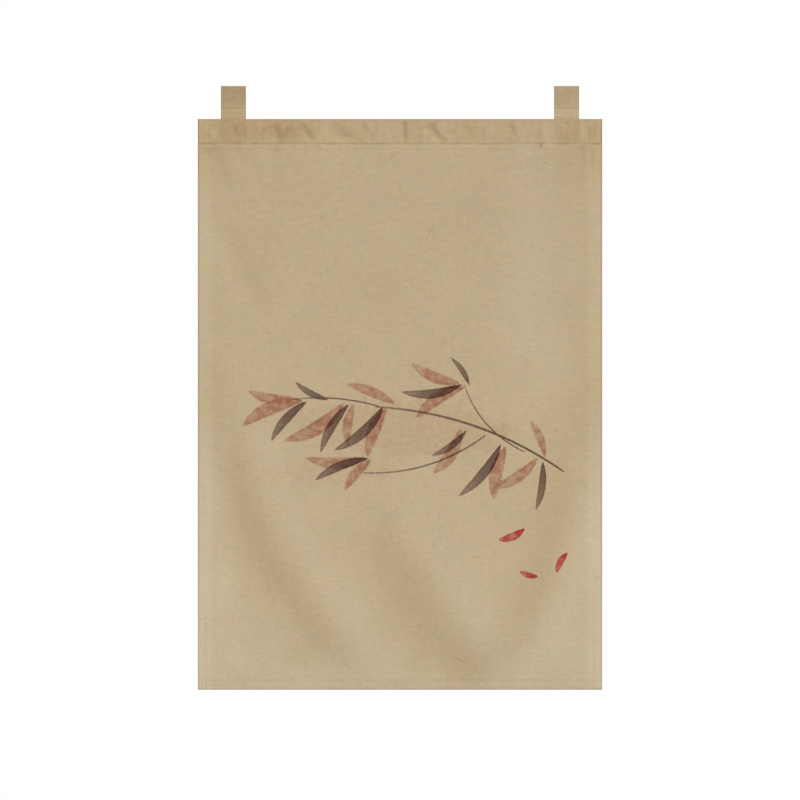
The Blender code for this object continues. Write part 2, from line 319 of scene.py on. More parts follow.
def painted_light_and_shade(x, drop):
    """How bright the cloth is painted beside its own mean: painted light and shade over broad patches
    and along the long folds.
    """
    tone = np.ones(x.shape)
    for patch in PATCHES:
        across = 1 - smooth(np.abs(x - patch.x) / patch.half_width)
        tone += patch.paler * across * (1 - smooth(np.abs(drop - patch.drop) / patch.half_drop))
    for fold, fold_shade in zip(LONG_FOLDS, FOLD_SHADES):
        near, strength, off = along_fold(fold, x, drop)
        dark = np.exp(-(((off - fold_shade.dark_off) / (0.62 * fold.band)) ** 2))
        pale = np.exp(-(((off - fold_shade.pale_off) / (0.45 * fold.band)) ** 2))
        tone[near] += strength * (fold_shade.paler * pale - fold_shade.darker * dark)
    return tone


def uneven(x, drop, ripple):
    """A ripple's height at every place given, by soft noise."""
    places = zip((x / ripple.wave_x).ravel(), (drop / ripple.wave_drop).ravel())
    values = [noise.noise(Vector((across, down, ripple.seed))) for across, down in places]
    return ripple.deep * np.array(values).reshape(x.shape)


def pouch_half(drop, widest, seam, half, closed_half):
    """Half depth of a pouch that is round over its top fold and closes at its seam."""
    above = np.clip((widest - drop) / widest, 0.0, 1.0)
    below = 1 - smooth((drop - widest) / (seam - widest))
    return np.where(
        drop < widest, half * np.sqrt(1 - above**2), closed_half + (half - closed_half) * below
    )


def layers_at(x):
    """Thickness of the cloth across the panel: one layer, or three in the side hems."""
    hemmed = smooth((np.abs(x) - (HEM_EDGE - 0.002)) / 0.002)
    return CLOTH + 2 * (CLOTH + LAYER_GAP) * hemmed


def pocket_front(x, drop):
    """How far the front layer of the heading stands in front of the panel's plane."""
    lost = sum(sag.loss * (1 - smooth(np.abs(x - sag.x) / sag.half_width)) for sag in SAGS)
    proud = 0.15 * (layers_at(x) - CLOTH)
    return pouch_half(drop, POCKET_WIDEST, HEADING_DROP, POCKET_FRONT * (1 - lost), FACE_OUT + proud)


def pocket_back(x, drop):
    """How far the turned-over layer of the heading stands behind the panel's plane."""
    lost = sum(sag.loss * (1 - smooth(np.abs(x - sag.x) / sag.half_width)) for sag in SAGS)
    closed = 3 * layers_at(x) + 2 * LAYER_GAP - FACE_OUT
    slack = uneven(x, drop, TURNING_RIPPLE) * smooth((HEADING_DROP - drop) / 0.015)
    half = POCKET_BACK * (1 - lost)
    return pouch_half(drop, POCKET_WIDEST, HEADING_DROP, half, closed) + slack * smooth(drop / 0.012)


def front_face(x, drop):
    """Y of the cloth's front face."""
    field = smooth((drop - HEADING_DROP) / SEAM_ROLL_DROP)
    back = sum(fold_set_back(fold, x, drop) for fold in LONG_FOLDS)
    for swell in SWELLS:
        back = back - swell.forward * (
            1 - smooth(np.hypot(x - swell.x, drop - swell.drop) / swell.radius)
        )
    back = back * field - SEAM_ROLL * np.sin(math.pi * field)

    in_heading = smooth((HEADING_DROP - drop) / 0.015) * smooth(drop / 0.008)
    back = back + in_heading * sum(fold_set_back(crease, x, drop) for crease in HEADING_CREASES)
    back = back + in_heading * uneven(x, drop, HEADING_RIPPLE)

    below = np.clip(drop - HEADING_DROP, 0.0, None)
    pulled = smooth(below / 0.004) * (1 - smooth((below - 0.010) / 0.060))
    back = back + smooth(below / 0.004) * sum(
        fold_set_back(crease, x, drop) for crease in SEAM_CREASES
    )
    back = back + pulled * uneven(x, drop, SEAM_RIPPLE)

    to_bottom = np.abs(drop - (FOOT_EDGE + 0.001))
    back = back + (1 - smooth(to_bottom / 0.030)) * uneven(x, drop, FOOT_RIPPLE)
    to_side = np.abs(np.abs(x) - (HEM_EDGE + 0.001))
    back = back + (1 - smooth(to_side / 0.022)) * uneven(x, drop, SIDE_RIPPLE)
    back = back + (uneven(x, drop, BROAD_RIPPLE) + uneven(x, drop, FINE_RIPPLE)) * field

    for seam_distance, drawn_in in (
        (drop - HEADING_DROP, 0.00035),
        (to_bottom, 0.00035),
        (to_side, 0.00020),
    ):
        back = back + drawn_in * (1 - smooth(np.abs(seam_distance) / 0.0028))
    return PANEL_Y - pocket_front(x, drop) + back


def turned_twice(width, stack):
    """The section of an edge turned over twice, from the face of the cloth inwards: for each place
    how far it lies inside the finished edge and behind the face, how far round it has turned, and
    how far past the edge it is along the cloth."""
    round_edge = (3 * stack + 2 * LAYER_GAP) / 2
    round_tuck = stack + LAYER_GAP / 2
    section = []
    for degrees in range(0, 181, 30):
        turn = math.radians(degrees)
        inset = round_edge * (1 - math.sin(turn))
        past = -inset if degrees < 90 else inset
        section.append((inset, round_edge * (1 - math.cos(turn)), turn, past))
    section.append((width / 2 + 0 * stack, 2 * round_edge, math.pi, width / 2 + 0 * stack))
    for degrees in range(180, 361, 45):
        turn = math.radians(degrees)
        inset = width - round_tuck * (1 + math.sin(turn))
        behind = 2 * round_edge - round_tuck * (1 + math.cos(turn))
        past = inset if degrees < 270 else 2 * width - inset
        section.append((inset, behind, turn, past))
    tucked = (width - TUCKED + 0 * stack, stack + LAYER_GAP, 2 * math.pi, width + TUCKED + 0 * stack)
    return section + [tucked]


def panel_columns():
    """Columns across the panel with its side hems: x, how far behind the face, and the place across
    the flat cloth."""
    hem = turned_twice(SIDE_HEM, CLOTH)
    right = [(HALF_WIDTH - inset, behind, HALF_WIDTH + past) for inset, behind, _, past in hem]
    left = [(-x, behind, -across) for x, behind, across in reversed(right)]
    inner = HEM_EDGE
    near_hem = [inner + step for step in (-0.004, -0.002, 0.0, 0.002, 0.005, 0.009, 0.013)]
    across_field = np.linspace(-inner + 0.006, inner - 0.006, 256)
    main = [-x for x in reversed(near_hem)] + list(across_field) + near_hem
    return np.array(left + [(x, 0.0, x) for x in main] + right)


def panel_rows(x):
    """Rows down the panel, from the tucked edge of the heading over the top fold to the foot: the
    layer (-1 in front, 1 turned over), and for every column the drop, how far behind the layer's
    face, how far round the cloth has turned, and the place along the flat cloth."""
    stack = layers_at(x)
    rows = []
    end = HEADING_DROP + TURNED_EDGE
    tuck = stack + LAYER_GAP / 2
    rows.append((1, end - TUCKED, -2 * tuck, 2 * math.pi, end + TUCKED))
    for degrees in range(360, 179, -45):
        turn = math.radians(degrees)
        past = end + 0.002 * (degrees - 270) / 90
        rows.append((1, end - tuck * (1 + math.sin(turn)), -tuck * (1 + math.cos(turn)), turn, past))
    for drop in np.linspace(HEADING_DROP, POCKET_WIDEST, 7):
        rows.append((1, drop, 0.0, math.pi, drop))
    for layer, half, angles in (
        (1, POCKET_BACK, range(75, -1, -15)),
        (-1, POCKET_FRONT, range(15, 90, 15)),
    ):
        for degrees in angles:
            angle = math.radians(degrees)
            drop = POCKET_WIDEST * (1 - math.cos(angle))
            turn = math.atan2(math.cos(angle) / POCKET_WIDEST, -layer * math.sin(angle) / half)
            rows.append((layer, drop, 0.0, turn, layer * drop))
    drops = list(np.linspace(POCKET_WIDEST, HEADING_DROP - 0.0045, 18))
    drops += [HEADING_DROP + step for step in (-0.0030, -0.0018, -0.0008, 0, 0.0008, 0.0018, 0.0030)]
    drops += list(np.linspace(HEADING_DROP + 0.005, 0.120, 23))
    drops += list(np.linspace(0.127, 1.158, 70))
    foot = FOOT_EDGE
    drops += [foot + step for step in (-0.014, -0.009, -0.005, -0.002, 0.001, 0.004, 0.008, 0.013)]
    rows += [(-1, drop, 0.0, 0.0, -drop) for drop in drops]
    for inset, behind, turn, past in turned_twice(BOTTOM_HEM, stack):
        rows.append((-1, PANEL_DROP - inset, behind, -turn, -(PANEL_DROP + past)))
    return [np.broadcast_arrays(x, *row)[1:] for row in rows]


def sheet_mesh(name, places, flat_places, closed_across=False):
    """A mesh sheet through rows of places, with the flat cloth's own places as its UV map."""
    count, across = places.shape[:2]
    faces = []
    for row in range(count - 1):
        for column in range(across if closed_across else across - 1):
            beside = (column + 1) % across
            first, second = row * across, (row + 1) * across
            faces.append((first + column, second + column, second + beside, first + beside))
    mesh = bpy.data.meshes.new(name)
    mesh.from_pydata(places.reshape(-1, 3).tolist(), [], faces)
    corners = np.array([place for face in faces for place in face])
    uv = flat_places.reshape(-1, 2)[corners]
    mesh.uv_layers.new(name="Cloth").data.foreach_set("uv", uv.ravel())
    mesh.shade_smooth()
    return mesh


def cloth_piece(mesh):
    """An object of a sheet's name, with the cloth's thickness behind its face."""
    piece = add_object(mesh.name, mesh)
    body = piece.modifiers.new("Cloth body", "SOLIDIFY")
    body.thickness = CLOTH
    body.offset = -1
    return piece


column_x, column_behind, column_across = panel_columns().T
layer, drop, behind, turn, along = np.array(panel_rows(column_x)).swapaxes(0, 1)
x, across, hem_behind = np.broadcast_arrays(column_x, column_across, column_behind, drop)[:3]
face_y = np.where(layer < 0, front_face(x, drop), PANEL_Y + pocket_back(x, drop))
y = face_y + behind + hem_behind * np.cos(turn)
z = -TAB_RISE - drop - hem_behind * np.sin(turn)
panel_mesh = sheet_mesh("hung_cloth", np.stack((x, y, z), axis=2), np.stack((across, along), axis=2))
# Painted shade along the front's creases, and painted light and shade over the whole cloth, kept on the
# mesh for its material
rubbed = np.where(layer < 0, painted_crease_shade(x, drop), 0.0)
for name, values in (("Rubbed", rubbed), ("Light_and_shade", painted_light_and_shade(x, drop))):
    panel_mesh.attributes.new(name, "FLOAT", "POINT").data.foreach_set("value", values.ravel())
panel_cloth = cloth_piece(panel_mesh)


def fill(node, inputs):
    """Sets a node's inputs, and links those that are given a socket."""
    for name, value in inputs.items():
        if isinstance(value, bpy.types.NodeSocket):
            node.id_data.links.new(value, node.inputs[name])
        else:
            node.inputs[name].default_value = value


def add_node(tree, kind, inputs, **settings):
    """A node with its settings made and its inputs filled. Shader nodes go by their short names."""
    made = tree.nodes.new(kind if "Node" in kind else "ShaderNode" + kind)
    for name, value in settings.items():
        setattr(made, name, value)
    fill(made, inputs)
    return made


def tree_of(values):
    """The node tree of the first socket among some values."""
    return next(value.id_data for value in values if isinstance(value, bpy.types.NodeSocket))


def derive(kind, inputs, output=0, **settings):
    """The result of a node, made in the tree that its inputs come from."""
    return add_node(tree_of(inputs.values()), kind, inputs, **settings).outputs[output]


def reckon(operation, *values):
    """The result of one sum on values that change over the cloth."""
    return derive("Math", dict(enumerate(values)), operation=operation)


def times(value, other):
    return reckon("MULTIPLY", value, other)


def apart(value, other):
    """How far two values lie apart."""
    return reckon("ABSOLUTE", reckon("SUBTRACT", value, other))


def place_sum(operation, *values):
    """The result of one sum on whole places."""
    return derive("VectorMath", dict(enumerate(values)), operation=operation)


def parts(place):
    """The x, y and z of a place."""
    return add_node(place.id_data, "SeparateXYZ", {0: place}).outputs


def ramp(value, start, end, low=0.0, high=1.0):
    """A value that goes softly from low to high while the one given goes from start to end."""
    inputs = {"Value": value, "From Min": start, "From Max": end, "To Min": low, "To Max": high}
    return derive("MapRange", inputs, interpolation_type="SMOOTHSTEP")


def blend(factor, under, over, mode="MULTIPLY"):
    """One colour laid over another."""
    return derive("Mix", {0: factor, 6: under, 7: over}, 2, data_type="RGBA", blend_type=mode)


def blotches(place, across, along, detail=2.0, rough=0.5):
    """Noise from 0 to 1, with so many blotches to the metre across and along the cloth."""
    scaled = place_sum("MULTIPLY", place, (across, along, 1.0))
    inputs = {"Vector": scaled, "Scale": 1.0, "Detail": detail, "Roughness": rough}
    return derive("TexNoise", inputs, noise_dimensions="2D")


def node_group(name, inputs, outputs):
    """An empty shader node group with its sockets, as tree, given sockets and output node."""
    tree = bpy.data.node_groups.new(name, "ShaderNodeTree")
    for socket_name, value in inputs.items():
        if isinstance(value, tuple):
            kind = "NodeSocketColor" if len(value) == 4 else "NodeSocketVector"
        else:
            kind = "NodeSocketFloat"
        socket = tree.interface.new_socket(socket_name, in_out="INPUT", socket_type=kind)
        socket.default_value = value
    for socket_name, kind in outputs.items():
        tree.interface.new_socket(socket_name, in_out="OUTPUT", socket_type="NodeSocket" + kind)
    given = tree.nodes.new("NodeGroupInput").outputs
    return tree, given, tree.nodes.new("NodeGroupOutput")


def use_group(group, **inputs):
    """A group's outputs in a material or in another group. Input names are given in small letters."""
    made = tree_of(inputs.values()).nodes.new("ShaderNodeGroup")
    made.node_tree = group
    fill(made, {name.capitalize(): value for name, value in inputs.items()})
    return made.outputs


# Plain weave: warp and weft pass over and under each other, with thick and thin runs of yarn
weave_group, given, result = node_group(
    "Plain weave", {"Place": (0.0, 0.0, 0.0), "Thread": 0.0006}, {"Height": "Float", "Slub": "Float"}
)
weft_runs = blotches(given["Place"], 26.0, 300.0, 3.0, 0.6)
warp_runs = blotches(given["Place"], 330.0, 24.0, 3.0, 0.6)
slub = reckon("MULTIPLY_ADD", weft_runs, 0.55, times(warp_runs, 0.45))
threads = reckon("DIVIDE", math.pi, given["Thread"])
at = parts(given["Place"])
warp = reckon("SINE", times(at[0], threads))
weft = reckon("SINE", times(at[1], threads))
crossing = times(warp, weft)
warp_over = reckon("MULTIPLY_ADD", crossing, 0.5, 0.5)
weft_over = reckon("SUBTRACT", 1.0, warp_over)
warp_up = times(reckon("ABSOLUTE", warp), warp_over)
weft_up = times(reckon("ABSOLUTE", weft), weft_over)
top_thread = reckon("MAXIMUM", warp_up, weft_up)
yarn = reckon("MULTIPLY_ADD", slub, 0.8, 0.6)
fill(result, {"Height": times(top_thread, yarn), "Slub": slub})

# Flecks: short bast fibres caught in the yarn, one to a cell, each turned and bent its own way
fleck_group, given, result = node_group(
    "Fibre flecks",
    {
        "Place": (0.0, 0.0, 0.0),
        "Cell": 0.04,
        "Length": 0.02,
        "Width": 0.001,
        "Bend": 8.0,
        "Turn": 1.0,
        "Shift": 0.0,
    },
    {"Fleck": "Float"},
)
inputs = {"Vector": given["Place"], "Scale": 38.0, "Detail": 1.0}
wander = place_sum("SUBTRACT", derive("TexNoise", inputs, 1, noise_dimensions="2D"), (0.5, 0.5, 0.5))
wandered = place_sum("MULTIPLY_ADD", wander, (0.010, 0.010, 0.0), given["Place"])
in_cells = place_sum("DIVIDE", place_sum("ADD", wandered, given["Shift"]), given["Cell"])
inputs = {"Vector": in_cells, "Scale": 1.0}
cells = add_node(fleck_group, "TexVoronoi", inputs, voronoi_dimensions="2D").outputs
chance = add_node(fleck_group, "SeparateColor", {0: cells["Color"]}).outputs
from_middle = place_sum("SUBTRACT", in_cells, cells["Position"])
angle = times(reckon("MULTIPLY_ADD", chance[0], 2.0, -1.0), given["Turn"])
turned = derive("VectorRotate", {"Vector": from_middle, "Angle": angle}, rotation_type="Z_AXIS")
on_fleck = parts(place_sum("MULTIPLY", turned, given["Cell"]))
bend = times(reckon("SUBTRACT", chance[1], 0.5), given["Bend"])
arc = times(reckon("POWER", on_fleck[0], 2.0), bend)
aside = apart(on_fleck[1], arc)
thin = ramp(reckon("DIVIDE", aside, given["Width"]), 0.25, 0.9, 1.0, 0.0)
reach = times(given["Length"], ramp(chance[2], 0.3, 1.0, 0.0, 0.5))
along_share = reckon("DIVIDE", reckon("ABSOLUTE", on_fleck[0]), reach)
ends = ramp(along_share, 0.6, 1.0, 1.0, 0.0)
near_face = ramp(chance[2], 0.35, 1.0, 0.12, 1.0)
fill(result, {"Fleck": times(times(thin, ends), near_face)})

# Cloth: the weave, its flecks and an uneven vat dye, over a given ground colour
WEAVE_THREAD = 0.00062
FLECK_TINT = (0.76, 0.62, 0.46, 1.0)
SHIVE_TINT = (1.34, 1.34, 1.32, 1.0)
cloth_group, given, result = node_group(
    "Noren cloth",
    {"Place": (0.0, 0.0, 0.0), "Ground": (0.5, 0.4, 0.25, 1.0), "Flecked": 0.5},
    {"Colour": "Color", "Roughness": "Float", "Height": "Float"},
)
weave = use_group(weave_group, place=given["Place"], thread=WEAVE_THREAD)
fibres = {
    kind: use_group(fleck_group, place=given["Place"], **sizes)["Fleck"]
    for kind, sizes in (
        ("dark", dict(cell=0.021, length=0.016, width=0.0011, bend=26.0, turn=1.30, shift=0.31)),
        ("pale", dict(cell=0.024, length=0.017, width=0.0011, bend=26.0, turn=1.30, shift=1.73)),
        ("long", dict(cell=0.085, length=0.062, width=0.0010, bend=18.0, turn=1.10, shift=4.19)),
    )
}
fleck_sum = reckon("MAXIMUM", fibres["dark"], fibres["long"])
dye_broad = blotches(given["Place"], 9.0, 7.0, 2.0)
dye_fine = blotches(given["Place"], 62.0, 130.0, 4.0, 0.68)
warmth = blotches(given["Place"], 32.0, 26.0, 3.0)
tone = reckon("MULTIPLY_ADD", dye_broad, 0.08, 0.885)
tone = reckon("MULTIPLY_ADD", dye_fine, 0.17, tone)
tone = reckon("MULTIPLY_ADD", weave["Slub"], 0.21, tone)
# Painted shade: the cloth is a little darker in the gaps between the raised threads
tone = reckon("MULTIPLY_ADD", weave["Height"], 0.06, tone)
tone = reckon("SUBTRACT", tone, 0.136)
shade = derive("CombineXYZ", {0: tone, 1: tone, 2: tone})
dyed = blend(1.0, given["Ground"], shade)
rosy = blend(1.0, dyed, (1.012, 0.996, 0.990, 1.0))
leafy = blend(1.0, dyed, (0.990, 1.003, 0.990, 1.0))
dyed = blend(ramp(warmth, 0.35, 0.65), leafy, rosy, "MIX")
clustered = blotches(given["Place"], 22.0, 24.0, 2.0, 0.5)
visible = times(ramp(clustered, 0.46, 0.64, 0.5, 1.8), given["Flecked"])
flecked = times(fleck_sum, visible)
coloured = blend(flecked, dyed, FLECK_TINT)
shives = times(fibres["pale"], visible)
coloured = blend(shives, coloured, SHIVE_TINT)
raised = times(weave["Height"], 0.00011)
raised = reckon("MULTIPLY_ADD", fleck_sum, 0.00008, raised)
raised = reckon("MULTIPLY_ADD", dye_fine, 0.00035, raised)
dull = ramp(weave["Height"], 0.0, 1.0, 0.95, 0.84)
fill(result, {"Colour": coloured, "Roughness": dull, "Height": raised})

# Sewn tones: the cloth's colour in its heading, hems and foot, cooler towards the foot, with painted
# shade where the tab ends lie behind the heading, in its puckers, along its top fold, edges, seam lines
# and creases, and painted light on its side hems
HEADING_TINT = (1.015, 1.000, 0.945, 1.0)
TAIL_SHADE_TINT = (0.93, 0.91, 0.87, 1.0)
CROWN_SHADE_TINT = (0.87, 0.865, 0.86, 1.0)
LOWER_TINT = (0.980, 1.010, 1.045, 1.0)
HEM_LIGHT_TINT = (1.07, 1.085, 1.10, 1.0)
FOOT_TINT = (0.995, 1.002, 1.012, 1.0)
SEAM_AND_EDGE_SHADE_TINT = (0.785, 0.75, 0.685, 1.0)
FOOT_EDGE_SHADE_TINT = (0.70, 0.66, 0.66, 1.0)
SIDE_EDGE_SHADE_TINT = (0.68, 0.63, 0.55, 1.0)
CREASE_SHADE_TINT = (0.66, 0.58, 0.46, 1.0)
sewn_shade_group, given, result = node_group(
    "Sewn tones, light and shade",
    {"Place": (0.0, 0.0, 0.0), "Ground": (0.5, 0.4, 0.25, 1.0), "Rubbed": 0.0, "Light_and_shade": 1.0},
    {"Colour": "Color"},
)
at = parts(given["Place"])
down = reckon("ABSOLUTE", at[1])
out = reckon("ABSOLUTE", at[0])
in_heading = ramp(down, HEADING_DROP - 0.001, HEADING_DROP + 0.001, 1.0, 0.0)
patchy = blotches(given["Place"], 70.0, 45.0, 3.0, 0.6)
# Painted shade on the heading where the tab ends lie behind it
behind_cloth = ramp(apart(out, TAB_MIDDLE), 0.023, 0.030, 1.0, 0.0)
tail_shade = times(behind_cloth, in_heading)
tail_shade = times(tail_shade, ramp(patchy, 0.3, 0.7, 0.4, 1.3))
# Painted shade in streaks, for the small puckers of the heading
pucker_shade = blotches(given["Place"], 90.0, 16.0, 3.0, 0.6)
pucker_shade = times(ramp(pucker_shade, 0.3, 0.7, 0.0, 0.8), in_heading)
# Painted shade along the heading's top fold
crown = ramp(down, 0.0, 0.013, 1.0, 0.0)
tail_shade = times(tail_shade, ramp(at[0], -0.1, 0.1, 1.0, 0.55))
lower = ramp(down, 0.95, 1.17)
# Painted light on the side hems
lit_hem = ramp(out, HEM_EDGE - 0.019, HEM_EDGE - 0.002)
in_foot = ramp(down, FOOT_EDGE - 0.001, FOOT_EDGE + 0.001)
# Painted shade along the cloth's edges where it turns away: the top fold, the foot and the sides
to_side = apart(out, HALF_WIDTH)
to_foot = apart(down, PANEL_DROP)
to_top = reckon("MULTIPLY_ADD", behind_cloth, 0.01, down)
edge_shade = ramp(to_top, 0.0008, 0.0026, 0.6, 0.0)
foot_edge_shade = ramp(to_foot, 0.0010, 0.0024, 0.9, 0.0)
side_edge_shade = ramp(to_side, 0.0008, 0.0034, 1.0, 0.0)
side_edge_shade = times(side_edge_shade, ramp(down, 0.96, 1.04, 1.0, 0.6))
# Painted shade in the seam's groove, uneven along it
to_seam = apart(down, HEADING_DROP + 0.0008)
pull = blotches(given["Place"], 31.0, 3.0, 3.0, 0.6)
seam_pull = ramp(pull, 0.38, 0.64, 0.25, 0.9)
seam_pull = reckon("MAXIMUM", seam_pull, ramp(out, 0.395, 0.410))
seam_shade = times(ramp(to_seam, 0.0006, 0.0036, 0.9, 0.0), seam_pull)
# Painted shade along the side hems' stitching, towards the foot
hem_seam_shade = ramp(apart(out, HEM_EDGE + 0.0006), 0.0004, 0.0022, 1.0, 0.0)
hem_seam_shade = times(hem_seam_shade, ramp(down, 0.97, 1.12, 0.0, 0.35))
sewn = given["Ground"]
for factor, tint in (
    (in_heading, HEADING_TINT),
    (tail_shade, TAIL_SHADE_TINT),
    (pucker_shade, TAIL_SHADE_TINT),
    (crown, CROWN_SHADE_TINT),
    (lower, LOWER_TINT),
    (lit_hem, HEM_LIGHT_TINT),
    (in_foot, FOOT_TINT),
    (edge_shade, SEAM_AND_EDGE_SHADE_TINT),
    (foot_edge_shade, FOOT_EDGE_SHADE_TINT),
    (side_edge_shade, SIDE_EDGE_SHADE_TINT),
    (seam_shade, SEAM_AND_EDGE_SHADE_TINT),
    (hem_seam_shade, SEAM_AND_EDGE_SHADE_TINT),
    (given["Rubbed"], CREASE_SHADE_TINT),
):
    sewn = blend(factor, sewn, tint)
# Painted light and shade from the mesh, laid over the colour, warmer where darker
painted_lighting = {part: reckon("POWER", given["Light_and_shade"], pace) for part, pace in enumerate((0.75, 1.2, 1.9))}
fill(result, {"Colour": blend(1.0, sewn, derive("CombineXYZ", painted_lighting))})

# Brush stroke: wet ink laid in one arched stroke, pooled at its edge and dry at its tip
stroke_group, given, result = node_group(
    "Brush stroke",
    {
        "Place": (0.0, 0.0, 0.0),
        "Grain": 0.5,
        "Start": (0.0, 0.0, 0.0),
        "Angle": 0.0,
        "Length": 0.1,
        "Width": 0.01,
        "Arch": 0.0,
        "Taper": 0.7,
        "Edge": 0.0015,
        "Dryness": 0.5,
    },
    {"Ink": "Float"},
)
from_start = place_sum("SUBTRACT", given["Place"], given["Start"])
inputs = {"Vector": from_start, "Angle": times(given["Angle"], -1.0)}
at = parts(derive("VectorRotate", inputs, rotation_type="Z_AXIS"))
share = reckon("DIVIDE", at[0], given["Length"])
ahead = derive("Clamp", {0: share})
swell_share = times(times(ahead, 4.0), reckon("SUBTRACT", 1.0, ahead))
aside = apart(at[1], times(swell_share, given["Arch"]))
half_width = times(times(given["Width"], 0.5), reckon("POWER", swell_share, given["Taper"]))
ragged = times(reckon("SUBTRACT", given["Grain"], 0.5), times(given["Edge"], 2.5))
within = reckon("ADD", reckon("SUBTRACT", half_width, aside), ragged)
cover = ramp(reckon("DIVIDE", within, given["Edge"]), -0.3, 0.7)
cover = times(cover, reckon("COMPARE", share, 0.5, 0.5))
bristles_at = derive("CombineXYZ", {0: times(at[0], 22.0), 1: times(at[1], 620.0)})
inputs = {"Vector": bristles_at, "Scale": 1.0, "Detail": 2.0}
bristles = derive("TexNoise", inputs, noise_dimensions="2D")
dry = times(ramp(share, 0.35, 1.0), given["Dryness"])
dry = times(dry, ramp(bristles, 0.42, 0.60))
pooled = ramp(reckon("DIVIDE", within, given["Edge"]), 0.6, 3.0, 1.0, 0.82)
load = times(pooled, ramp(share, 0.0, 1.0, 1.0, 0.78))
inked = times(cover, reckon("SUBTRACT", 1.0, dry))
fill(result, {"Ink": times(inked, load)})

# Print: a plain spray of bamboo in brown washes and dark ink, with a few red fallen leaves
Stroke = namedtuple("Stroke", "ink x drop angle length width arch strength")
STROKES = (
    Stroke("mist", 0.250, 0.655, 176, 0.500, 0.130, 0.012, 0.10),
    Stroke("mist", 0.030, 0.735, 184, 0.340, 0.060, -0.006, 0.06),
    Stroke("twig", 0.345, 0.742, 161, 0.420, 0.0052, -0.030, 0.85),
    Stroke("twig", -0.045, 0.604, 176, 0.190, 0.0034, -0.010, 0.80),
    Stroke("twig", 0.180, 0.665, 197, 0.270, 0.0036, 0.024, 0.75),
    Stroke("twig", 0.262, 0.700, 132, 0.190, 0.0034, 0.020, 0.78),
    Stroke("wash", -0.215, 0.588, 171, 0.105, 0.0240, 0.010, 0.80),
    Stroke("wash", -0.205, 0.592, 203, 0.138, 0.0300, -0.012, 0.92),
    Stroke("ink", -0.196, 0.594, 228, 0.112, 0.0190, -0.008, 0.92),
    Stroke("ink", -0.150, 0.590, 152, 0.080, 0.0140, 0.006, 0.80),
    Stroke("wash", -0.118, 0.598, 212, 0.148, 0.0310, 0.014, 0.88),
    Stroke("ink", -0.108, 0.600, 240, 0.118, 0.0190, -0.008, 0.90),
    Stroke("wash", -0.098, 0.600, 262, 0.088, 0.0210, -0.006, 0.80),
    Stroke("ink", -0.035, 0.604, 222, 0.138, 0.0220, 0.012, 0.94),
    Stroke("wash", -0.028, 0.606, 249, 0.112, 0.0270, -0.008, 0.88),
    Stroke("wash", -0.010, 0.600, 158, 0.112, 0.0220, -0.006, 0.76),
    Stroke("wash", -0.072, 0.712, 180, 0.126, 0.0250, 0.012, 0.84),
    Stroke("ink", -0.066, 0.714, 202, 0.122, 0.0190, -0.008, 0.92),
    Stroke("wash", -0.060, 0.716, 229, 0.086, 0.0220, -0.006, 0.82),
    Stroke("wash", 0.126, 0.556, 158, 0.110, 0.0240, 0.008, 0.78),
    Stroke("ink", 0.130, 0.558, 187, 0.128, 0.0200, 0.012, 0.90),
    Stroke("wash", 0.136, 0.562, 213, 0.122, 0.0280, -0.010, 0.88),
    Stroke("ink", 0.146, 0.560, 124, 0.070, 0.0120, -0.005, 0.78),
    Stroke("wash", 0.128, 0.652, 238, 0.110, 0.0270, 0.010, 0.88),
    Stroke("ink", 0.140, 0.654, 216, 0.092, 0.0150, 0.008, 0.80),
    Stroke("ink", 0.212, 0.684, 231, 0.140, 0.0210, 0.010, 0.92),
    Stroke("wash", 0.222, 0.688, 258, 0.116, 0.0280, -0.008, 0.88),
    Stroke("wash", 0.290, 0.712, 214, 0.118, 0.0240, 0.010, 0.80),
    Stroke("ink", 0.300, 0.720, 262, 0.104, 0.0160, 0.006, 0.86),
    Stroke("wash", 0.305, 0.712, 112, 0.084, 0.0170, -0.006, 0.72),
    Stroke("red", 0.262, 0.862, 203, 0.060, 0.0170, 0.005, 0.95),
    Stroke("red", 0.352, 0.912, 242, 0.048, 0.0140, -0.004, 0.95),
    Stroke("red", 0.290, 0.962, 164, 0.040, 0.0120, 0.003, 0.92),
)
Ink = namedtuple("Ink", "taper edge dryness")
INKS = {
    "mist": Ink(0.75, 0.0300, 0.3),
    "twig": Ink(0.12, 0.0012, 0.5),
    "wash": Ink(0.72, 0.0032, 0.35),
    "ink": Ink(0.74, 0.0016, 0.50),
    "red": Ink(0.66, 0.0014, 0.2),
}
WASH_TINT = (0.56, 0.27, 0.23)
INK_TINT = (0.145, 0.100, 0.110)
RED_TINT = (0.66, 0.05, 0.06)
SCREENS = ((-0.425, -0.150), (-0.150, 0.0), (0.0, 0.170), (0.170, 0.425))


def stroke_span(stroke):
    """The lowest and highest x that a stroke can reach."""
    tip = stroke.x + stroke.length * math.cos(math.radians(stroke.angle))
    aside = stroke.width / 2 + abs(stroke.arch) + 0.004
    return min(stroke.x, tip) - aside, max(stroke.x, tip) + aside


